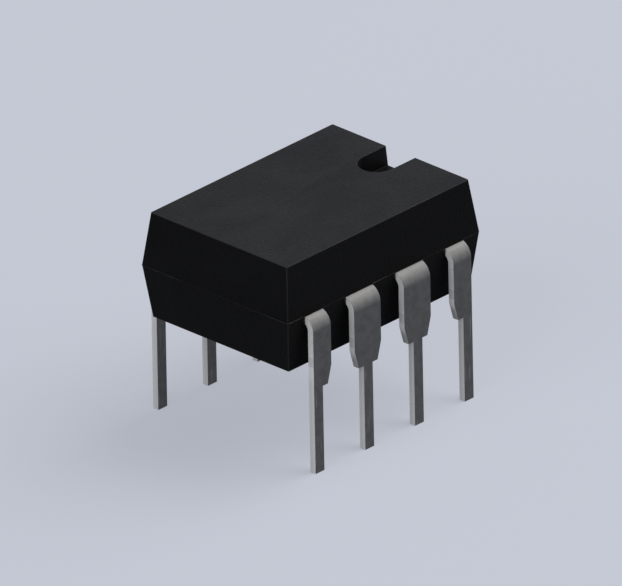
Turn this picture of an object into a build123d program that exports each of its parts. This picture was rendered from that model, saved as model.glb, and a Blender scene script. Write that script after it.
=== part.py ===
from build123d import *
import os

os.makedirs("parts", exist_ok=True)

# Rows of leads, in millimetres like every length here
leads_per_row = 4
lead_pitch = 2.54
row_spacing = 7.62

# Lead frame metal and the part of each lead outside the body
frame_thickness = 0.25
pin_width = 0.46
pin_length = 3.30
shoulder_width = 1.36
shoulder_foot_width = 0.97
shoulder_taper = 0.70
bend_inner_radius = 0.30

# Moulded body: its walls lean inwards from the parting line, in degrees
wall_gap = 0.135
end_overhang = 1.09
standoff = 0.73
mould_half_height = 2.05
mould_draft = 7.0
corner_radius = 0.06
rim_radius = 0.03

# Notch at the end beside lead 1, the ejector marks underneath, and the stub of the gate
notch_width = 1.40
notch_length = 2.15
notch_depth = 0.80
ejector_diameter = 1.50
ejector_depth = 0.05
ejector_inset = 2.00
gate_width = 1.20
gate_height = 0.35
gate_depth = 0.30
gate_drop = 0.08

# Inner leads and the paddle that carries the die
anchor_depth = 1.00
anchor_hole_diameter = 0.50
anchor_hole_inset = 0.62
finger_tip_width = 0.60
finger_tip_length = 0.25
paddle_width = 2.60
paddle_length = 3.80
paddle_gap = 0.25
paddle_downset = 0.25
paddle_link_inset = 0.30

# Die and the adhesive under it
die_width = 1.60
die_length = 2.20
die_thickness = 0.28
attach_thickness = 0.05
attach_margin = 0.06

# Bond wires, eight-sided because they are so thin
wire_sides = 8
wire_diameter = 0.030
ball_diameter = 0.090
ball_height = 0.025
pad_inset = 0.10
pad_offset = 0.45
loop_height = 0.26
knee_length = 0.06
stitch_length = 0.10
stitch_lift = 0.010
stitch_inset = 0.22

# Heights above the plane of the lead tips
seating_height = pin_length
body_bottom = seating_height + standoff
parting_height = body_bottom + mould_half_height
body_top = parting_height + mould_half_height
frame_underside = parting_height - frame_thickness
bend_end = frame_underside - bend_inner_radius
paddle_top = parting_height - paddle_downset
attach_top = paddle_top + attach_thickness
die_top = attach_top + die_thickness

# Places across the rows, measured from the middle of the body
outer_face = (row_spacing + frame_thickness) / 2
inner_face = (row_spacing - frame_thickness) / 2
bend_start = inner_face - bend_inner_radius
wall_place = inner_face - wall_gap
neck_place = wall_place - anchor_depth
anchor_hole_place = wall_place - anchor_hole_inset
side_tip_place = paddle_width / 2 + paddle_gap
body_width = 2 * wall_place

# Places along the rows, measured from the middle of the body
row_length = (leads_per_row - 1) * lead_pitch
end_place = row_length / 2
body_length = row_length + 2 * end_overhang
notch_centre = body_length / 2 - notch_length + notch_width / 2
ejector_place = body_length / 2 - ejector_inset
end_tip_place = paddle_length / 2 + paddle_gap

# Places of the end leads' fingertips across the rows
link_inner = paddle_link_inset
link_outer = paddle_link_inset + finger_tip_width


def shoulder_outline(outboard):
    """Half of the outline that a lead shows to the side, from its centre line outwards."""
    if outboard:
        return [(pin_width / 2, 0), (pin_width / 2, parting_height)]
    return [
        (pin_width / 2, 0),
        (pin_width / 2, seating_height),
        (shoulder_foot_width / 2, seating_height),
        (shoulder_width / 2, seating_height + shoulder_taper),
        (shoulder_width / 2, parting_height),
    ]


def finger_outline(side, row_place, end):
    """Plan of a lead's finger, from its anchored stretch to the paddle."""
    if end == 0:
        return [
            (side * neck_place, row_place - shoulder_width / 2),
            (side * neck_place, row_place + shoulder_width / 2),
            (side * (side_tip_place + finger_tip_length), row_place + finger_tip_width / 2),
            (side * side_tip_place, row_place + finger_tip_width / 2),
            (side * side_tip_place, row_place - finger_tip_width / 2),
            (side * (side_tip_place + finger_tip_length), row_place - finger_tip_width / 2),
        ]
    return [
        (side * neck_place, row_place - end * shoulder_width / 2),
        (side * neck_place, row_place + end * pin_width / 2),
        (side * link_inner, end * (end_tip_place + finger_tip_width)),
        (side * link_inner, end * end_tip_place),
        (side * link_outer, end * end_tip_place),
        (side * link_outer, end * (end_tip_place + finger_tip_length)),
    ]


def build_lead(side, row_place, end):
    """One stamped and formed lead; end is 0 for a middle lead, else the side of its nearer body end."""
    side_view = Plane(origin=(0, row_place, 0), x_dir=(side, 0, 0), z_dir=(0, -side, 0))
    front_view = Plane(origin=(0, row_place, 0), x_dir=(0, 1, 0), z_dir=(1, 0, 0))
    with BuildPart() as lead:
        # Side view: the flat stretch, the bend and the straight drop, all one metal thickness
        with BuildSketch(side_view):
            with BuildLine():
                top = Line((neck_place, parting_height), (bend_start, parting_height))
                bend = TangentArc(top @ 1, (outer_face, bend_end), tangent=(1, 0))
                drop = Line(bend @ 1, (outer_face, 0))
                tip = Line(drop @ 1, (inner_face, 0))
                rise = Line(tip @ 1, (inner_face, bend_end))
                inner_bend = TangentArc(rise @ 1, (bend_start, frame_underside), tangent=(0, 1))
                Line(inner_bend @ 1, (neck_place, frame_underside))
                Line((neck_place, frame_underside), top @ 0)
            make_face()
        extrude(amount=shoulder_width / 2, both=True)

        # Front view: the wide shoulder, its taper and the step down to the pin
        right = shoulder_outline(end > 0)
        left = [(-across, height) for across, height in reversed(shoulder_outline(end < 0))]
        with BuildSketch(front_view):
            with BuildLine():
                Polyline(*right, *left, close=True)
            make_face()
        extrude(amount=side * outer_face, mode=Mode.INTERSECT)

        # Finger towards the paddle
        with BuildSketch(Plane.XY.offset(parting_height)):
            with BuildLine():
                Polyline(*finger_outline(side, row_place, end), close=True)
            make_face()
        extrude(amount=-frame_thickness)

        # Hole that the moulding compound fills to hold the lead
        hole_shift = end * (shoulder_width - pin_width) / 4
        with Locations((side * anchor_hole_place, row_place - hole_shift, parting_height)):
            Hole(radius=anchor_hole_diameter / 2, depth=frame_thickness)
    return lead


def lead_number(side, index):
    """Leads are numbered down one row from the notch and up the other."""
    if side < 0:
        return index + 1
    return 2 * leads_per_row - index


# The eight leads; the lead at the far end of the first row carries the paddle
leads = {}
for side in (-1, 1):
    for index in range(leads_per_row):
        row_place = end_place - index * lead_pitch
        end = {0: 1, leads_per_row - 1: -1}.get(index, 0)
        leads[lead_number(side, index)] = build_lead(side, row_place, end)

with BuildPart() as paddle_lead:
    add(leads[leads_per_row])
    # Short ramp down from the finger to the sunken paddle
    with BuildSketch(Plane.YZ.offset(-link_outer)):
        with BuildLine():
            Polyline(
                (-end_tip_place, parting_height),
                (-end_tip_place, frame_underside),
                (-paddle_length / 2, paddle_top - frame_thickness),
                (-paddle_length / 2, paddle_top),
                close=True,
            )
        make_face()
    extrude(amount=finger_tip_width)
    with BuildSketch(Plane.XY.offset(paddle_top)):
        Rectangle(paddle_width, paddle_length)
    extrude(amount=-frame_thickness)
leads[leads_per_row] = paddle_lead

# Adhesive and die
with BuildPart() as die_attach:
    with BuildSketch(Plane.XY.offset(paddle_top)):
        Rectangle(die_width + 2 * attach_margin, die_length + 2 * attach_margin)
    extrude(amount=attach_thickness)

with BuildPart() as die:
    with BuildSketch(Plane.XY.offset(attach_top)):
        Rectangle(die_width, die_length)
    extrude(amount=die_thickness)


def build_wire(pad, landing, landing_height):
    """Wire from a squashed ball on the die, over its loop, to a flattened stitch."""
    run = Vector(*landing) - Vector(*pad)
    upright = Plane(origin=(*pad, die_top), x_dir=run, z_dir=run.cross(Vector(0, 0, 1)))
    stitch_height = landing_height - die_top + stitch_lift
    with BuildPart() as wire:
        with BuildLine(upright) as loop:
            Polyline(
                (0, ball_height / 2),
                (0, loop_height - knee_length),
                (knee_length, loop_height),
                (run.length - stitch_length, stitch_height),
                (run.length, stitch_height),
            )
        with BuildSketch(Plane(origin=loop.line @ 0, z_dir=loop.line % 0)):
            RegularPolygon(wire_diameter / 2, wire_sides)
        sweep(path=loop.line, transition=Transition.RIGHT)
        split(bisect_by=Plane.XY.offset(landing_height), keep=Keep.TOP)
        with BuildSketch(Plane(origin=(*pad, die_top))):
            RegularPolygon(ball_diameter / 2, wire_sides)
        extrude(amount=ball_height)
    return wire


# One wire for each lead; the paddle's own lead gets its wire on the paddle beside the die
side_pad = die_width / 2 - pad_inset
end_pad = die_length / 2 - pad_inset
wires = {}
for side in (-1, 1):
    for index in range(leads_per_row):
        number = lead_number(side, index)
        row_place = end_place - index * lead_pitch
        along = 1 if row_place > 0 else -1
        if number == leads_per_row:
            pad = (side * pad_offset, along * end_pad)
            landing = (side * pad_offset, along * (paddle_length / 2 - stitch_inset))
            wires[number] = build_wire(pad, landing, paddle_top)
        elif abs(row_place) < end_place:
            pad = (side * side_pad, along * pad_offset)
            landing = (side * (side_tip_place + stitch_inset), row_place)
            wires[number] = build_wire(pad, landing, parting_height)
        else:
            pad = (side * pad_offset, along * end_pad)
            landing = (side * (link_inner + link_outer) / 2, along * (end_tip_place + stitch_inset))
            wires[number] = build_wire(pad, landing, parting_height)

# Moulded body, shaped round everything that it seals in
parting_plane = Plane.XY.offset(parting_height)
with BuildPart() as moulded_body:
    # Upper half, with its walls drafted from the parting line, and its mirror image below
    with BuildSketch(parting_plane):
        Rectangle(body_width, body_length)
    extrude(amount=mould_half_height)
    walls = moulded_body.faces().filter_by(Axis.Z, reverse=True)
    draft(walls, neutral_plane=parting_plane, angle=mould_draft)
    corners = moulded_body.edges().filter_by(Plane.XY, reverse=True)
    fillet(corners, radius=corner_radius)
    fillet(moulded_body.faces().sort_by(Axis.Z)[-1].edges(), radius=rim_radius)
    mirror(about=parting_plane)

    # Stub under the notch where the gate broke off, level with the parting line's edge
    with BuildSketch(Plane.XZ.offset(-body_length / 2)):
        with Locations((0, parting_height - gate_drop)):
            Rectangle(gate_width, gate_height, align=(Align.CENTER, Align.MAX))
    extrude(amount=gate_depth)

    # Notch, open at the end beside the first lead
    with BuildSketch(Plane.XY.offset(body_top)):
        with Locations((0, notch_centre)):
            Circle(notch_width / 2)
            Rectangle(notch_width, notch_length, align=(Align.CENTER, Align.MIN))
    extrude(amount=-notch_depth, mode=Mode.SUBTRACT)

    # Round marks of the ejector pins
    with BuildSketch(Plane.XY.offset(body_bottom)):
        with Locations((0, ejector_place), (0, -ejector_place)):
            Circle(ejector_diameter / 2)
    extrude(amount=ejector_depth, mode=Mode.SUBTRACT)

    sealed_in = [*leads.values(), die_attach, die, *wires.values()]
    for piece in sealed_in:
        add(piece.part, mode=Mode.SUBTRACT)

moulded_body.part.label = "moulded_body"
export_step(moulded_body.part, "parts/moulded_body.step")
die_attach.part.label = "die_attach"
export_step(die_attach.part, "parts/die_attach.step")
die.part.label = "die"
export_step(die.part, "parts/die.step")
for number, lead in leads.items():
    name = f"lead_{number}_and_paddle" if number == leads_per_row else f"lead_{number}"
    lead.part.label = name
    export_step(lead.part, f"parts/{name}.step")
for number, wire in wires.items():
    wire.part.label = f"bond_wire_{number}"
    export_step(wire.part, f"parts/bond_wire_{number}.step")
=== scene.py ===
import math

import bmesh
import bpy
from mathutils import Matrix, Vector


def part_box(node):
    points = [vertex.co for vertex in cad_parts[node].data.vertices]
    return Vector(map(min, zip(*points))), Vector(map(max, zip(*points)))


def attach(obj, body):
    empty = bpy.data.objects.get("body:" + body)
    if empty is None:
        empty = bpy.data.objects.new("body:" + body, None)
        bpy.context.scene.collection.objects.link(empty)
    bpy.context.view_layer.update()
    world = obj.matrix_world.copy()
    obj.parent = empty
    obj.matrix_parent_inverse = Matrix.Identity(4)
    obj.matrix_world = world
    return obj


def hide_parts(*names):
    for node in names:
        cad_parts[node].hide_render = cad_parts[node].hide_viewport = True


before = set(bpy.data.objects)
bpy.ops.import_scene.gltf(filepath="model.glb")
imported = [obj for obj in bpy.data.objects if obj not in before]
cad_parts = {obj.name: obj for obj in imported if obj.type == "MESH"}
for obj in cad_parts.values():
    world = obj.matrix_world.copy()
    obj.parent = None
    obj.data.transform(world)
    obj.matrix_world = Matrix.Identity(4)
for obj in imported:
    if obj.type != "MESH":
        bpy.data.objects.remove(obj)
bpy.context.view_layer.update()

# Millimetres in metres
MM = 0.001

# The photograph: its frame in pixels, its scale, and the pixel that shows the frame's origin
PHOTO_WIDTH = 622
PHOTO_HEIGHT = 586
PIXELS_PER_MM = 28.458
ORIGIN_PIXEL = (313.5, 402.78)

# The view, in degrees: round from the end without the notch, above the horizon, and the picture's tilt
VIEW_AZIMUTH = 43.957
VIEW_ELEVATION = 26.490
VIEW_ROLL = -1.082

# Sizes of the package in millimetres, read from the CAD parts in model.glb
BODY_LOW, BODY_HIGH = (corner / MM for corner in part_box("moulded_body"))
BODY_TOP = BODY_HIGH.z
BODY_BOTTOM = BODY_LOW.z
PARTING_HEIGHT = (BODY_TOP + BODY_BOTTOM) / 2
WALL = BODY_HIGH.x
BODY_END = BODY_HIGH.y
LEAD_LOW, LEAD_HIGH = (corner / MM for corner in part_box("lead_7"))
LEAD_PITCH = (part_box("lead_7")[1].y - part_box("lead_6")[1].y) / MM
LEAD_FACE = LEAD_HIGH.x
SHOULDER_WIDTH = LEAD_HIGH.y - LEAD_LOW.y

# Other sizes of the package in millimetres
SEATING_HEIGHT = 3.30
STRIP_THICKNESS = 0.25
PIN_WIDTH = 0.46
BEND_INNER_RADIUS = 0.30
NOTCH_WIDTH = 1.40
NOTCH_DEPTH = 0.80
NOTCH_LENGTH = 2.15
BODY_CORNER_RADIUS = 0.06
NOTCH_EDGE_WIDTH = 0.030
LEAD_EDGE_WIDTH = 0.035
EJECTOR_DEPTH = 0.05
GATE_WIDTH = 1.20
GATE_HEIGHT = 0.35
GATE_DROP = 0.08
DAM_BAR_LOW = 4.18
DAM_BAR_HIGH = 4.52
BEND_OUTER_RADIUS = BEND_INNER_RADIUS + STRIP_THICKNESS
BEND_CENTRE = (LEAD_FACE - BEND_OUTER_RADIUS, PARTING_HEIGHT - BEND_OUTER_RADIUS)

LEADS = [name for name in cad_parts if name.startswith("lead_")]
WIRES = [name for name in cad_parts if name.startswith("bond_wire_")]
ROWS_Y = [(index - 1.5) * LEAD_PITCH for index in range(4)]

# Pale blue-grey of the ground, as it should look in the picture, and what it throws back on the part
GROUND_COLOUR = (0.552, 0.578, 0.651)
GROUND_THROWN_BACK = (0.10, 0.10, 0.11)

# Colours of the epoxy, darkest to palest; the darkest is painted shade on the walls and in the notch
WALL_PAINTED_SHADE = (0.0030, 0.0030, 0.0031)
EPOXY_DARK = (0.0135, 0.0135, 0.0137)
EPOXY_PALE = (0.0180, 0.0179, 0.0179)
FLASH_DARK = (0.020, 0.019, 0.018)
FLASH_PALE = (0.036, 0.033, 0.030)
EDGE_RUBBED = (0.052, 0.052, 0.054)
FILLER_SPECK = (0.075, 0.073, 0.070)

# Colours of the leads, partly painted light and shade: rolled faces, the stretched outside of the bend,
# sheared faces, and marks
TIN_DARK = (0.084, 0.082, 0.078)
TIN_PALE = (0.116, 0.113, 0.108)
TIN_CRYSTAL = (0.20, 0.195, 0.185)
TIN_GRAIN = (0.080, 0.078, 0.074)
TIN_SCRATCH = (0.46, 0.46, 0.46)
# The bend is paler partly from stretching and partly as painted highlight; its crown is a painted
# highlight
BEND_DARK = (0.172, 0.168, 0.160)
BEND_PALE = (0.207, 0.202, 0.192)
BEND_CROWN_PAINTED_HIGHLIGHT = (0.30, 0.293, 0.28)
SHEARED_DARK = (0.64, 0.64, 0.635)
SHEARED_PALE = (0.78, 0.78, 0.77)
SHEARED_BURNISHED = (0.78, 0.78, 0.78)
# Painted light for the shoulders' sheared faces
SHOULDER_PAINTED_LIGHT = (0.92, 0.92, 0.91)
# Painted shade for facets that slant downwards
SLANTING_PAINTED_SHADE = (0.16, 0.16, 0.16)
DAM_BAR_CUT = (0.34, 0.33, 0.32)
EDGE_ROLLED_OVER = (0.42, 0.42, 0.42)
BARE_COPPER = (0.60, 0.33, 0.20)
RESIN_BLEED = (0.030, 0.028, 0.026)


# Node trees

def new_tree(name):
    """A material with an empty node tree, and the tree."""
    material = bpy.data.materials.new(name)
    material.use_nodes = True
    material.node_tree.nodes.clear()
    return material, material.node_tree


def node(tree, kind, inputs=None, **settings):
    """A node with its settings; inputs gives sockets a value or another node's output."""
    made = tree.nodes.new(kind)
    for key, value in settings.items():
        setattr(made, key, value)
    for key, value in (inputs or {}).items():
        if isinstance(value, bpy.types.NodeSocket):
            tree.links.new(value, made.inputs[key])
        else:
            made.inputs[key].default_value = value
    return made


def maths(tree, operation, first, second=0.0, third=0.0):
    """One sum; each term is a number or a socket."""
    return node(tree, "ShaderNodeMath", {0: first, 1: second, 2: third}, operation=operation).outputs[0]


def product(tree, first, *others):
    """All the terms multiplied."""
    for other in others:
        first = maths(tree, "MULTIPLY", first, other)
    return first


def ramp(tree, value, low, high, low_out=0.0, high_out=1.0):
    """Smooth step of a value from low to high."""
    inputs = {"Value": value, "From Min": low, "From Max": high, "To Min": low_out, "To Max": high_out}
    return node(tree, "ShaderNodeMapRange", inputs, interpolation_type="SMOOTHSTEP").outputs["Result"]


def band(tree, value, low, high, edge):
    """One between low and high, and zero outside them, with soft edges."""
    rise = ramp(tree, value, low - edge, low)
    return maths(tree, "MULTIPLY", rise, ramp(tree, value, high, high + edge, 1.0, 0.0))


def blend_colours(tree, share, first, second):
    """A mix of two colours; each is a colour or a socket."""
    mixed = node(tree, "ShaderNodeMix", {"Factor": share}, data_type="RGBA")
    for key, value in (("A", first), ("B", second)):
        socket = [s for s in mixed.inputs if s.name == key and s.type == "RGBA"][0]
        if isinstance(value, bpy.types.NodeSocket):
            tree.links.new(value, socket)
        else:
            socket.default_value = (*value, 1.0)
    return [s for s in mixed.outputs if s.type == "RGBA"][0]


def millimetres(tree):
    """Object coordinates in millimetres."""
    place = node(tree, "ShaderNodeTexCoord").outputs["Object"]
    return node(tree, "ShaderNodeMapping", {"Vector": place, "Scale": (1 / MM,) * 3}).outputs["Vector"]


def parts_of(tree, vector):
    """The three parts of a vector."""
    return node(tree, "ShaderNodeSeparateXYZ", {0: vector}).outputs


def vector_of(tree, x, y, z):
    """A vector of three values."""
    return node(tree, "ShaderNodeCombineXYZ", {0: x, 1: y, 2: z}).outputs[0]


def vector_maths(tree, operation, first, second):
    """One sum of two vectors."""
    return node(tree, "ShaderNodeVectorMath", {0: first, 1: second}, operation=operation).outputs[0]


def surface_direction(tree):
    """The three parts of the surface's own direction, without sign."""
    facing = node(tree, "ShaderNodeTexCoord").outputs["Normal"]
    return [maths(tree, "ABSOLUTE", part) for part in parts_of(tree, facing)]


def stretched(tree, vector, scale):
    """A place scaled by its own amount along each axis."""
    return node(tree, "ShaderNodeMapping", {"Vector": vector, "Scale": scale}).outputs["Vector"]


def noise(tree, vector, scale, detail=3.0, rough=0.5, twist=0.0):
    """Cloudy random values round one half."""
    inputs = {
        "Vector": vector, "Scale": scale, "Detail": detail, "Roughness": rough, "Distortion": twist}
    return node(tree, "ShaderNodeTexNoise", inputs).outputs["Fac"]


def cells(tree, vector, scale):
    """Cell pattern: the distance to a cell's middle, and a random value for each cell."""
    made = node(tree, "ShaderNodeTexVoronoi", {"Vector": vector, "Scale": scale})
    return made.outputs["Distance"], parts_of(tree, made.outputs["Color"])[0]


def bump(tree, height, depth):
    """Surface relief of a depth in millimetres."""
    inputs = {"Strength": 1.0, "Distance": depth * MM, "Height": height}
    return node(tree, "ShaderNodeBump", inputs).outputs["Normal"]


def finish_shader(tree, shader):
    """Ends a material's tree."""
    node(tree, "ShaderNodeOutputMaterial", {"Surface": shader})


# Finishes

def moulding_compound():
    """Black filled epoxy: spark-eroded, blacker on the walls and in the notch as painted shade, smooth
    in the notch.
    """
    material, tree = new_tree("moulding_compound")
    place = millimetres(tree)
    x, y, z = parts_of(tree, place)
    across = maths(tree, "ABSOLUTE", x)
    directions = surface_direction(tree)
    steepest = maths(tree, "MAXIMUM", directions[0], directions[1])
    steepest = maths(tree, "MAXIMUM", steepest, directions[2])

    # Smooth places: the notch's insert and the heads of the ejector pins
    in_notch = product(
        tree,
        ramp(tree, across, NOTCH_WIDTH / 2 + 0.01, NOTCH_WIDTH / 2 + 0.03, 1.0, 0.0),
        ramp(tree, y, BODY_END - NOTCH_LENGTH - 0.06, BODY_END - NOTCH_LENGTH),
        band(tree, z, BODY_TOP - NOTCH_DEPTH - 0.02, BODY_TOP - 0.03, 0.02))
    on_mark = band(tree, z, BODY_BOTTOM + EJECTOR_DEPTH / 2, BODY_BOTTOM + EJECTOR_DEPTH + 0.02, 0.01)
    on_mark = product(tree, on_mark, ramp(tree, directions[2], 0.8, 0.9))
    smooth = maths(tree, "MAXIMUM", in_notch, on_mark)
    handled = ramp(tree, steepest, 0.86, 0.97, 1.0, 0.0)
    handled = product(tree, handled, maths(tree, "SUBTRACT", 1.0, in_notch))
    # Walls and notch: where shade is painted, and where the sheen is lower
    fine = maths(tree, "MAXIMUM", ramp(tree, directions[2], 0.3, 0.6, 1.0, 0.0), in_notch)

    # Colour: clouds left by the flow from the gate, fine filler specks, edges rubbed paler
    along_flow = stretched(tree, place, (1.0, 0.55, 1.0))
    flow = noise(tree, along_flow, scale=0.6, detail=2.0, rough=0.45, twist=0.6)
    mottle = noise(tree, place, scale=6.0, detail=4.0, rough=0.6)
    cloud = maths(tree, "ADD", product(tree, flow, 0.6), product(tree, mottle, 0.4))
    speck_distance, speck_chance = cells(tree, place, scale=11.0)
    speck = ramp(tree, speck_distance, 0.10, 0.28, 1.0, 0.0)
    speck = product(tree, speck, ramp(tree, speck_chance, 0.86, 0.9))
    colour = blend_colours(tree, ramp(tree, cloud, 0.35, 0.65), EPOXY_DARK, EPOXY_PALE)
    colour = blend_colours(tree, product(tree, speck, 0.35), colour, FILLER_SPECK)
    # Painted shade: walls and notch darkened towards black
    colour = blend_colours(tree, product(tree, fine, 0.85), colour, WALL_PAINTED_SHADE)
    colour = blend_colours(tree, product(tree, handled, 0.45), colour, EDGE_RUBBED)

    # Relief: craters of the eroded mould, finer grit between them, a slow unevenness under both
    crater_distance, _ = cells(tree, place, scale=13.0)
    grit = noise(tree, place, scale=34.0, detail=3.0, rough=0.65)
    uneven = noise(tree, place, scale=8.0, detail=2.0, rough=0.5)
    relief = maths(tree, "ADD", product(tree, crater_distance, 0.7), product(tree, grit, 0.5))
    relief = maths(tree, "ADD", relief, product(tree, uneven, 0.8))
    relief = product(tree, relief, ramp(tree, smooth, 0.0, 1.0, 1.0, 0.25))
    skin = bump(tree, relief, depth=0.018)
    gloss = ramp(tree, maths(tree, "ADD", cloud, product(tree, grit, 0.15)), 0.4, 0.75, 0.66, 0.60)
    polish = maths(tree, "MAXIMUM", smooth, product(tree, handled, 0.6))
    gloss = maths(tree, "SUBTRACT", gloss, product(tree, polish, 0.16))
    mirrored = ramp(tree, fine, 0.0, 1.0, 0.10, 0.045)
    shader = node(tree, "ShaderNodeBsdfPrincipled", {
        "Base Color": colour, "Roughness": gloss, "Specular IOR Level": mirrored, "Normal": skin})
    finish_shader(tree, shader.outputs[0])
    return material


def resin_flash():
    """The same epoxy where it squeezed out thin: rough, and a little browner."""
    material, tree = new_tree("resin_flash")
    place = millimetres(tree)
    mottle = noise(tree, place, scale=9.0, detail=4.0, rough=0.6)
    colour = blend_colours(tree, ramp(tree, mottle, 0.35, 0.65), FLASH_DARK, FLASH_PALE)
    skin = bump(tree, noise(tree, place, scale=30.0, detail=3.0, rough=0.6), depth=0.010)
    shader = node(tree, "ShaderNodeBsdfPrincipled", {
        "Base Color": colour, "Roughness": 0.62, "Specular IOR Level": 0.25, "Normal": skin})
    finish_shader(tree, shader.outputs[0])
    return material


def tin_plate():
    """Dull tin on rolled strip, with painted light and shade: paler on the bend and on sheared faces,
    bare copper on cut tips.
    """
    material, tree = new_tree("tin_plate")
    place = millimetres(tree)
    x, y, z = parts_of(tree, place)
    across = maths(tree, "ABSOLUTE", x)
    _, facing_y, facing_z = surface_direction(tree)

    # Distance from the bend's centre line, so that depth in the strip runs on round the bend
    past_centre = maths(tree, "MAXIMUM", maths(tree, "SUBTRACT", across, BEND_CENTRE[0]), 0.0)
    above_centre = maths(tree, "MAXIMUM", maths(tree, "SUBTRACT", z, BEND_CENTRE[1]), 0.0)
    square = product(tree, above_centre, above_centre)
    radius = maths(tree, "SQRT", maths(tree, "MULTIPLY_ADD", past_centre, past_centre, square))
    along = maths(tree, "SUBTRACT", z, across)

    # Where each finish lies, and where light and shade are painted
    # Sheared faces: pale partly from burnish and partly as painted light; rolled faces kept dark,
    # partly as painted shade
    sheared = ramp(tree, facing_y, 0.55, 0.85)
    rolled_edge = ramp(tree, facing_y, 0.15, 0.45)
    rolled_edge = product(tree, rolled_edge, ramp(tree, facing_y, 0.70, 0.92, 1.0, 0.0))
    bent = ramp(tree, facing_z, 0.0, 0.25)
    # Top of the bend, facing up: painted highlight
    crown_painted_highlight = ramp(tree, facing_z, 0.70, 0.95)
    burnished = ramp(tree, radius, BEND_OUTER_RADIUS - 0.12, BEND_OUTER_RADIUS - 0.08)
    dam_bar = product(tree, sheared, band(tree, z, DAM_BAR_LOW, DAM_BAR_HIGH, 0.03))
    cut_tip = product(tree, ramp(tree, facing_z, 0.6, 0.85), ramp(tree, z, 0.01, 0.03, 1.0, 0.0))
    # Painted shade: sheared facets that slant downwards
    slanting_painted_shade = product(tree, ramp(tree, facing_z, 0.12, 0.28), ramp(tree, facing_y, 0.55, 0.75))
    # Painted light: sheared faces above the seating height made paler, where the body shades them
    untouched = ramp(tree, z, SEATING_HEIGHT, SEATING_HEIGHT + 0.7)
    creep = product(tree, noise(tree, place, scale=7.0, detail=4.0, rough=0.6), 0.036)
    bleed = maths(tree, "LESS_THAN", across, maths(tree, "ADD", WALL - 0.004, creep))

    # Marks: rolling grain along the strip, punch lines through its thickness, contact scratches
    grain_place = vector_of(tree, product(tree, y, 34.0), product(tree, along, 1.3), radius)
    grain = noise(tree, grain_place, scale=1.0, detail=4.0, rough=0.6)
    punch_place = vector_of(tree, product(tree, along, 30.0), product(tree, radius, 2.5), y)
    punch_lines = noise(tree, punch_place, scale=1.0, detail=3.0, rough=0.6)
    scratch_place = vector_of(tree, product(tree, y, 22.0), product(tree, along, 0.55), x)
    scratch = ramp(tree, noise(tree, scratch_place, scale=1.0, detail=2.0, rough=0.4), 0.66, 0.70)
    scratch = product(tree, scratch, ramp(tree, z, SEATING_HEIGHT + 0.1, SEATING_HEIGHT - 0.3))
    mottle = noise(tree, place, scale=3.0, detail=5.0, rough=0.62)
    _, crystal = cells(tree, place, scale=26.0)

    # Colour of the rolled faces, of the sheared faces, and of the whole lead, with painted light and
    # shade
    clouded = ramp(tree, mottle, 0.3, 0.7)
    flat = blend_colours(tree, clouded, TIN_DARK, TIN_PALE)
    # Bend paler than the flat faces, partly as painted highlight, and palest at its crown as painted
    # highlight
    bend = blend_colours(tree, clouded, BEND_DARK, BEND_PALE)
    bend = blend_colours(tree, product(tree, crown_painted_highlight, 0.85), bend, BEND_CROWN_PAINTED_HIGHLIGHT)
    rolled = blend_colours(tree, bent, flat, bend)
    rolled = blend_colours(tree, product(tree, crystal, 0.20), rolled, TIN_CRYSTAL)
    rolled = blend_colours(tree, product(tree, scratch, 0.55), rolled, TIN_SCRATCH)
    rolled = blend_colours(tree, ramp(tree, grain, 0.35, 0.65, 0.30, 0.0), rolled, TIN_GRAIN)
    torn = blend_colours(tree, punch_lines, SHEARED_DARK, SHEARED_PALE)
    sheared_partly_painted_light = blend_colours(tree, burnished, torn, SHEARED_BURNISHED)
    # Painted light on the shoulders' sheared faces
    sheared_partly_painted_light = blend_colours(tree, product(tree, untouched, 0.7), sheared_partly_painted_light, SHOULDER_PAINTED_LIGHT)
    sheared_partly_painted_light = blend_colours(tree, product(tree, dam_bar, 0.30), sheared_partly_painted_light, DAM_BAR_CUT)
    # Painted shade on downward-slanting facets
    sheared_partly_painted_light = blend_colours(tree, product(tree, slanting_painted_shade, 0.60), sheared_partly_painted_light, SLANTING_PAINTED_SHADE)
    # Pale sheared faces against dark rolled faces: partly finish, partly painted light and shade
    colour = blend_colours(tree, sheared, rolled, sheared_partly_painted_light)
    colour = blend_colours(tree, product(tree, rolled_edge, 0.35), colour, EDGE_ROLLED_OVER)
    colour = blend_colours(tree, cut_tip, colour, BARE_COPPER)
    colour = blend_colours(tree, bleed, colour, RESIN_BLEED)

    # Sheen and relief
    rough = ramp(tree, grain, 0.3, 0.7, 0.36, 0.48)
    rough = maths(tree, "SUBTRACT", rough, product(tree, sheared, burnished, 0.12))
    rough = maths(tree, "SUBTRACT", rough, product(tree, scratch, 0.10))
    rough = maths(tree, "ADD", rough, product(tree, dam_bar, 0.10))
    rough = maths(tree, "ADD", rough, product(tree, bent, 0.22))
    relief = maths(tree, "ADD", product(tree, grain, 0.5), product(tree, mottle, 0.5))
    torn_relief = product(tree, sheared, maths(tree, "SUBTRACT", 1.0, burnished), punch_lines)
    relief = maths(tree, "ADD", relief, product(tree, torn_relief, 2.0))
    skin = bump(tree, relief, depth=0.0035)
    metal = ramp(tree, sheared, 0.0, 1.0, 0.92, 0.14)
    metal = product(tree, metal, maths(tree, "SUBTRACT", 1.0, bleed))
    shader = node(tree, "ShaderNodeBsdfPrincipled", {
        "Base Color": colour, "Metallic": metal, "Roughness": rough, "Normal": skin})
    finish_shader(tree, shader.outputs[0])
    return material


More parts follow.
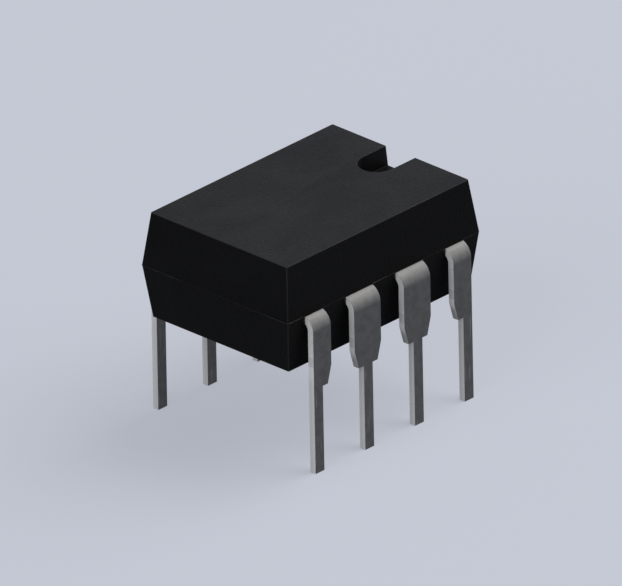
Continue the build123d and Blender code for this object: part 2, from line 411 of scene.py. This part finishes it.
def silver_epoxy():
    """Die attach: dull grey paste with silver flakes."""
    material, tree = new_tree("silver_epoxy")
    place = millimetres(tree)
    _, flake = cells(tree, place, scale=40.0)
    colour = blend_colours(tree, ramp(tree, flake, 0.5, 0.9), (0.30, 0.30, 0.29), (0.62, 0.62, 0.60))
    skin = bump(tree, noise(tree, place, scale=14.0), depth=0.010)
    shader = node(tree, "ShaderNodeBsdfPrincipled", {
        "Base Color": colour, "Metallic": 0.5, "Roughness": 0.5, "Normal": skin})
    finish_shader(tree, shader.outputs[0])
    return material


def silicon():
    """Die: sawn edges, and blocks of fine circuitry on its upper face."""
    material, tree = new_tree("silicon")
    place = millimetres(tree)
    _, _, facing_z = surface_direction(tree)
    blocks = node(tree, "ShaderNodeTexVoronoi", {"Vector": place, "Scale": 4.0}, distance="CHEBYCHEV")
    tone = parts_of(tree, blocks.outputs["Color"])[0]
    lines = node(tree, "ShaderNodeTexBrick", {
        "Vector": place, "Scale": 30.0, "Mortar Size": 0.03, "Color1": (0.10, 0.12, 0.20, 1),
        "Color2": (0.16, 0.15, 0.22, 1), "Mortar": (0.42, 0.42, 0.40, 1)})
    circuit = blend_colours(tree, product(tree, tone, 0.6), lines.outputs["Color"], (0.22, 0.17, 0.20))
    colour = blend_colours(tree, ramp(tree, facing_z, 0.5, 0.9), (0.12, 0.12, 0.13), circuit)
    rough = ramp(tree, facing_z, 0.5, 0.9, 0.45, 0.15)
    shader = node(tree, "ShaderNodeBsdfPrincipled", {
        "Base Color": colour, "Metallic": 0.3, "Roughness": rough})
    finish_shader(tree, shader.outputs[0])
    return material


def gold_wire():
    """Drawn gold with a faint die line."""
    material, tree = new_tree("gold_wire")
    place = millimetres(tree)
    drawn = noise(tree, stretched(tree, place, (60.0, 60.0, 4.0)), scale=1.0)
    colour = blend_colours(tree, drawn, (0.86, 0.58, 0.20), (0.96, 0.70, 0.30))
    rough = ramp(tree, drawn, 0.3, 0.7, 0.18, 0.28)
    shader = node(tree, "ShaderNodeBsdfPrincipled", {
        "Base Color": colour, "Metallic": 1.0, "Roughness": rough})
    finish_shader(tree, shader.outputs[0])
    return material


# Studio

def seen_or_mirrored(tree):
    """One for rays that show the ground or sky itself, straight, mirrored or through glass."""
    path = node(tree, "ShaderNodeLightPath")
    seen = maths(tree, "MAXIMUM", path.outputs["Is Camera Ray"], path.outputs["Is Glossy Ray"])
    return maths(tree, "MAXIMUM", seen, path.outputs["Is Transmission Ray"])


def plain_ground():
    """Pale floor with a light shadow, clear from below, that throws little light back up."""
    material, tree = new_tree("plain_ground")
    seen = seen_or_mirrored(tree)
    colour = blend_colours(tree, seen, GROUND_THROWN_BACK, GROUND_COLOUR)
    lit = node(tree, "ShaderNodeBsdfDiffuse", {"Color": colour}).outputs[0]
    glow = node(tree, "ShaderNodeEmission", {
        "Color": (*GROUND_COLOUR, 1.0), "Strength": 1.07}).outputs[0]
    top = node(tree, "ShaderNodeMixShader", {0: product(tree, seen, 0.62), 1: lit, 2: glow}).outputs[0]
    clear = node(tree, "ShaderNodeBsdfTransparent").outputs[0]
    below = node(tree, "ShaderNodeNewGeometry").outputs["Backfacing"]
    finish_shader(tree, node(tree, "ShaderNodeMixShader", {0: below, 1: top, 2: clear}).outputs[0])
    return material


def make_ground():
    """A square of floor under the lead tips."""
    half = 0.6
    mesh = bpy.data.meshes.new("ground")
    corners = [(-half, -half, 0), (half, -half, 0), (half, half, 0), (-half, half, 0)]
    mesh.from_pydata(corners, [], [(0, 1, 2, 3)])
    ground = bpy.data.objects.new("ground", mesh)
    bpy.context.collection.objects.link(ground)
    mesh.materials.append(plain_ground())


def make_world():
    """Sky of the ground's colour wherever it is seen, and a dim even light otherwise."""
    world = bpy.data.worlds.new("studio")
    bpy.context.scene.world = world
    world.use_nodes = True
    tree = world.node_tree
    tree.nodes.clear()
    strength = ramp(tree, seen_or_mirrored(tree), 0.0, 1.0, 0.30, 1.0)
    shader = node(tree, "ShaderNodeBackground", {"Color": (*GROUND_COLOUR, 1.0), "Strength": strength})
    node(tree, "ShaderNodeOutputWorld", {"Surface": shader.outputs[0]})


def make_lamp(name, direction, distance, size, power):
    """A square soft lamp that faces the middle of the package."""
    data = bpy.data.lights.new(name, "AREA")
    data.shape = "SQUARE"
    data.size = size
    data.energy = power
    lamp = bpy.data.objects.new(name, data)
    bpy.context.collection.objects.link(lamp)
    middle = Vector((0, 0, PARTING_HEIGHT * MM))
    away = Vector(direction).normalized()
    lamp.location = middle + away * distance
    lamp.rotation_mode = "QUATERNION"
    lamp.rotation_quaternion = away.to_track_quat("Z", "Y")


def make_camera():
    """Parallel view at the photograph's angle, scale and place."""
    turn, lift, roll = (math.radians(v) for v in (VIEW_AZIMUTH, VIEW_ELEVATION, VIEW_ROLL))
    back = Vector((math.sin(turn) * math.cos(lift), -math.cos(turn) * math.cos(lift), math.sin(lift)))
    level = Vector((math.cos(turn), math.sin(turn), 0))
    rise = back.cross(level)
    right = level * math.cos(roll) + rise * math.sin(roll)
    up = rise * math.cos(roll) - level * math.sin(roll)
    along = (PHOTO_WIDTH / 2 - ORIGIN_PIXEL[0]) / PIXELS_PER_MM * MM
    above = (ORIGIN_PIXEL[1] - PHOTO_HEIGHT / 2) / PIXELS_PER_MM * MM
    data = bpy.data.cameras.new("camera")
    data.type = "ORTHO"
    data.ortho_scale = PHOTO_WIDTH / PIXELS_PER_MM * MM
    data.clip_start = 0.001
    data.clip_end = 2.0
    camera = bpy.data.objects.new("camera", data)
    bpy.context.collection.objects.link(camera)
    distance = 0.1
    place = right * along + up * above + back * distance
    turned = Matrix((right, up, back)).transposed().to_4x4()
    camera.matrix_world = Matrix.Translation(place) @ turned
    bpy.context.scene.camera = camera


# Finished pieces

def dress(names, material):
    """Gives CAD nodes their finish."""
    for name in names:
        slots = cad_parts[name].material_slots
        for slot in slots:
            slot.link = "OBJECT"
            slot.material = material


def new_piece(name, mesh):
    """An object of the scene with the mesh."""
    piece = bpy.data.objects.new(name, mesh)
    bpy.context.collection.objects.link(piece)
    return piece


def keep_shape(piece):
    """Turns what the modifiers make into the piece's own mesh."""
    made = piece.evaluated_get(bpy.context.evaluated_depsgraph_get())
    mesh = bpy.data.meshes.new_from_object(made)
    piece.modifiers.clear()
    piece.data = mesh


def rounded_copy(name, title, material, width, weight_of_edge):
    """A welded copy of a CAD node that stands in for it, with small rounded edges."""
    shape = bmesh.new()
    shape.from_mesh(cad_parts[name].data)
    bmesh.ops.remove_doubles(shape, verts=shape.verts, dist=0.0002 * MM)
    bmesh.ops.dissolve_limit(shape, angle_limit=math.radians(0.5), verts=shape.verts, edges=shape.edges)
    weights = shape.edges.layers.float.new("bevel_weight_edge")
    for edge in shape.edges:
        if edge.is_manifold and edge.calc_face_angle() > math.radians(30):
            middle = (edge.verts[0].co + edge.verts[1].co) / 2 / MM
            edge[weights] = weight_of_edge(middle)
    mesh = bpy.data.meshes.new(title)
    shape.to_mesh(mesh)
    shape.free()
    mesh.shade_smooth()
    mesh.set_sharp_from_angle(angle=math.radians(35))
    mesh.materials.clear()
    mesh.materials.append(material)
    piece = new_piece(title, mesh)
    piece.modifiers.new("rounding", "BEVEL").limit_method = "WEIGHT"
    piece.modifiers["rounding"].width = width * MM
    piece.modifiers["rounding"].segments = 3
    piece.modifiers["rounding"].use_clamp_overlap = True
    piece.modifiers.new("seams", "WELD").merge_threshold = 0.0005 * MM
    piece.modifiers.new("shading", "WEIGHTED_NORMAL").keep_sharp = True
    keep_shape(piece)
    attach(piece, "root")
    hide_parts(name)
    return piece


def lead_edge_weight(place):
    """Stamped edges: rolled over outside, sharper inside the bend, untouched in the body."""
    across = abs(place.x)
    if across < WALL - 0.03:
        return 0.0
    radius = math.hypot(max(across - BEND_CENTRE[0], 0), max(place.z - BEND_CENTRE[1], 0))
    return 1.0 if radius > BEND_OUTER_RADIUS - STRIP_THICKNESS / 2 else 0.4


def body_edge_weight(place):
    """Edges of the notch and the ejector marks; the rest are rounded already or sealed in."""
    in_notch = place.z > BODY_TOP - NOTCH_DEPTH - 0.05 and abs(place.x) < NOTCH_WIDTH / 2 + 0.05
    on_mark = place.z < BODY_BOTTOM + EJECTOR_DEPTH + 0.02
    return 1.0 if in_notch else 0.5 if on_mark else 0.0


# Shapes that follow a rule

def shape_tree(name, sizes):
    """An empty geometry tree with a geometry input and a named input for each size."""
    tree = bpy.data.node_groups.new(name, "GeometryNodeTree")
    tree.interface.new_socket(name="Geometry", in_out="INPUT", socket_type="NodeSocketGeometry")
    for size in sizes:
        tree.interface.new_socket(name=size, in_out="INPUT", socket_type="NodeSocketFloat")
    tree.interface.new_socket(name="Material", in_out="INPUT", socket_type="NodeSocketMaterial")
    tree.interface.new_socket(name="Geometry", in_out="OUTPUT", socket_type="NodeSocketGeometry")
    return tree, node(tree, "NodeGroupInput").outputs


def close_tree(tree, given, geometry):
    """Ends a geometry tree in plain geometry with its material."""
    real = node(tree, "GeometryNodeRealizeInstances", {"Geometry": geometry}).outputs[0]
    dressed = node(tree, "GeometryNodeSetMaterial", {"Geometry": real, "Material": given["Material"]})
    node(tree, "NodeGroupOutput", {"Geometry": dressed.outputs[0]})


def grow(name, mesh, tree, sizes, material):
    """A piece that a geometry tree makes from a starting mesh."""
    piece = new_piece(name, mesh)
    modifier = piece.modifiers.new("shape", "NODES")
    modifier.node_group = tree
    values = dict(sizes, Material=material)
    for item in tree.interface.items_tree:
        if item.in_out == "INPUT" and item.name in values:
            modifier[item.identifier] = values[item.name]
    keep_shape(piece)
    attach(piece, "root")
    return piece


def parting_paths():
    """Lines that the parting flash follows: between the leads on each side, and round each end."""
    inner = SHOULDER_WIDTH / 2
    outer = PIN_WIDTH / 2
    corner = BODY_CORNER_RADIUS
    paths = []
    for side in (-1, 1):
        for start, stop in zip(ROWS_Y, ROWS_Y[1:]):
            paths.append([(side * WALL, start + inner), (side * WALL, stop - inner)])
    arc = [math.radians(15 * step) for step in range(7)]
    for end in (-1, 1):
        start = ROWS_Y[-1] + outer
        middle = (WALL - corner, BODY_END - corner)
        quarter = [(middle[0] + corner * math.cos(a), middle[1] + corner * math.sin(a)) for a in arc]
        half = [(WALL, start), *quarter]
        whole = half + [(-x, y) for x, y in reversed(half)]
        paths.append([(x, end * y) for x, y in whole])
    return paths


def parting_flash(material):
    """Thin fin of epoxy along the parting line, uneven as it breaks off."""
    points, edges = [], []
    for path in parting_paths():
        first = len(points)
        points += [(x * MM, y * MM, PARTING_HEIGHT * MM) for x, y in path]
        edges += [(i, i + 1) for i in range(first, len(points) - 1)]
    mesh = bpy.data.meshes.new("parting_paths")
    mesh.from_pydata(points, edges, [])

    tree, given = shape_tree("flash_fin", ["Reach", "Thickness", "Spacing", "Unevenness"])
    line = node(tree, "GeometryNodeMeshToCurve", {"Mesh": given["Geometry"]}).outputs[0]
    line = node(tree, "GeometryNodeResampleCurve", {
        "Curve": line, "Length": given["Spacing"]}, mode="LENGTH").outputs[0]
    line = node(tree, "GeometryNodeSetCurveNormal", {"Curve": line}, mode="Z_UP").outputs[0]
    place = node(tree, "GeometryNodeInputPosition").outputs[0]
    wide = noise(tree, place, scale=1.6 / MM, detail=4.0, rough=0.65)
    chipped = ramp(tree, noise(tree, place, scale=0.42 / MM, detail=2.0), 0.42, 0.58, 0.35, 1.0)
    low = maths(tree, "SUBTRACT", 1.0, given["Unevenness"])
    share = product(tree, ramp(tree, wide, 0.35, 0.68, 0.0, 1.0), given["Unevenness"])
    size = product(tree, maths(tree, "ADD", low, share), chipped)
    half_thickness = product(tree, given["Thickness"], 0.5)
    section = node(tree, "GeometryNodeCurvePrimitiveQuadrilateral", {
        "Width": product(tree, given["Reach"], 2.0),
        "Bottom Height": half_thickness, "Top Height": half_thickness}, mode="KITE").outputs[0]
    fin = node(tree, "GeometryNodeCurveToMesh", {
        "Curve": line, "Profile Curve": section, "Scale": size, "Fill Caps": True}).outputs[0]
    close_tree(tree, given, fin)
    sizes = {"Reach": 0.030 * MM, "Thickness": 0.022 * MM, "Spacing": 0.030 * MM, "Unevenness": 0.75}
    return grow("parting_flash", mesh, tree, sizes, material)


def root_flash(material):
    """Broken crumbs of epoxy left beside each lead where it leaves the body."""
    points = []
    for side in (-1, 1):
        for row in ROWS_Y:
            for hand in (-1, 1):
                outboard = hand * row > ROWS_Y[2]
                half = (PIN_WIDTH if outboard else SHOULDER_WIDTH) / 2
                points.append((side * (WALL - 0.004) * MM, (row + hand * (half + 0.02)) * MM,
                               (PARTING_HEIGHT - STRIP_THICKNESS / 2) * MM))
    mesh = bpy.data.meshes.new("root_points")
    mesh.from_pydata(points, [], [])

    tree, given = shape_tree("crumbs", ["Width", "Height", "Roughness"])
    crumb = node(tree, "GeometryNodeMeshIcoSphere", {"Radius": 0.5, "Subdivisions": 3}).outputs[0]
    depth = product(tree, given["Width"], 0.8)
    size = vector_of(tree, depth, given["Width"], given["Height"])
    spread = node(tree, "FunctionNodeRandomValue", {"Seed": 11}, data_type="FLOAT_VECTOR")
    spread.inputs[0].default_value = (0.5, 0.6, 0.6)
    spread.inputs[1].default_value = (1.0, 1.2, 1.1)
    scale = vector_maths(tree, "MULTIPLY", size, spread.outputs[0])
    placed = node(tree, "GeometryNodeInstanceOnPoints", {
        "Points": given["Geometry"], "Instance": crumb, "Scale": scale}).outputs[0]
    loose = node(tree, "GeometryNodeRealizeInstances", {"Geometry": placed}).outputs[0]
    place = node(tree, "GeometryNodeInputPosition").outputs[0]
    jitter = node(tree, "ShaderNodeTexNoise", {"Vector": place, "Scale": 22 / MM, "Detail": 2.0})
    centred = vector_maths(tree, "SUBTRACT", jitter.outputs["Color"], (0.5, 0.5, 0.5))
    push = node(tree, "ShaderNodeVectorMath", {0: centred}, operation="SCALE")
    tree.links.new(given["Roughness"], push.inputs["Scale"])
    broken = node(tree, "GeometryNodeSetPosition", {"Geometry": loose, "Offset": push.outputs[0]})
    close_tree(tree, given, broken.outputs[0])
    sizes = {"Width": 0.085 * MM, "Height": 0.24 * MM, "Roughness": 0.05 * MM}
    return grow("root_flash", mesh, tree, sizes, material)


def gate_break(material):
    """Rough, broken face of the stub where the runner was snapped off."""
    tree, given = shape_tree("broken_face", ["Width", "Height", "Depth", "Tear"])
    size = vector_of(tree, given["Width"], given["Depth"], given["Height"])
    block = node(tree, "GeometryNodeMeshCube", {
        "Size": size, "Vertices X": 90, "Vertices Y": 2, "Vertices Z": 28}).outputs[0]
    place = node(tree, "GeometryNodeInputPosition").outputs[0]
    x, y, z = parts_of(tree, place)
    sideways = maths(tree, "DIVIDE", maths(tree, "ABSOLUTE", x), given["Width"])
    upward = maths(tree, "DIVIDE", maths(tree, "ABSOLUTE", z), given["Height"])
    inside = ramp(tree, sideways, 0.36, 0.49, 1.0, 0.0)
    inside = product(tree, inside, ramp(tree, upward, 0.20, 0.48, 1.0, 0.0))
    swell = ramp(tree, noise(tree, place, scale=1.5 / MM, detail=1.0), 0.35, 0.65, 0.55, 1.0)
    grain = noise(tree, place, scale=26 / MM, detail=2.0, rough=0.6)
    outer_face = maths(tree, "GREATER_THAN", y, 0.0)
    lift = product(tree, swell, grain, inside, outer_face, given["Tear"])
    offset = node(tree, "ShaderNodeCombineXYZ", {1: lift}).outputs[0]
    rough = node(tree, "GeometryNodeSetPosition", {"Geometry": block, "Offset": offset}).outputs[0]
    seat = (0.0, BODY_END - 0.012, PARTING_HEIGHT - GATE_DROP - GATE_HEIGHT / 2)
    placed = node(tree, "GeometryNodeTransform", {
        "Geometry": rough, "Translation": tuple(value * MM for value in seat)}).outputs[0]
    close_tree(tree, given, placed)
    margin = 0.03
    sizes = {"Width": (GATE_WIDTH - margin) * MM, "Height": (GATE_HEIGHT - margin) * MM,
             "Depth": 0.020 * MM, "Tear": 0.045 * MM}
    return grow("gate_break", bpy.data.meshes.new("gate_seed"), tree, sizes, material)


bpy.context.scene.view_settings.view_transform = "Standard"
make_camera()
make_world()
make_ground()
make_lamp("top_lamp", direction=(0.30, 0.60, 0.74), distance=0.5, size=0.52, power=2.6)
make_lamp("front_lamp", direction=(0.12, -0.92, 0.45), distance=0.5, size=0.40, power=1.15)

compound = moulding_compound()
tin = tin_plate()
flash = resin_flash()
body = rounded_copy("moulded_body", "finished_body", compound, NOTCH_EDGE_WIDTH, body_edge_weight)
for lead in LEADS:
    plated = rounded_copy(lead, "plated_" + lead, tin, LEAD_EDGE_WIDTH, lead_edge_weight)
dress(["moulded_body"], compound)
dress(LEADS, tin)
dress(["die_attach"], silver_epoxy())
dress(["die"], silicon())
dress(WIRES, gold_wire())
parting_flash(flash)
root_flash(flash)
gate_break(compound)
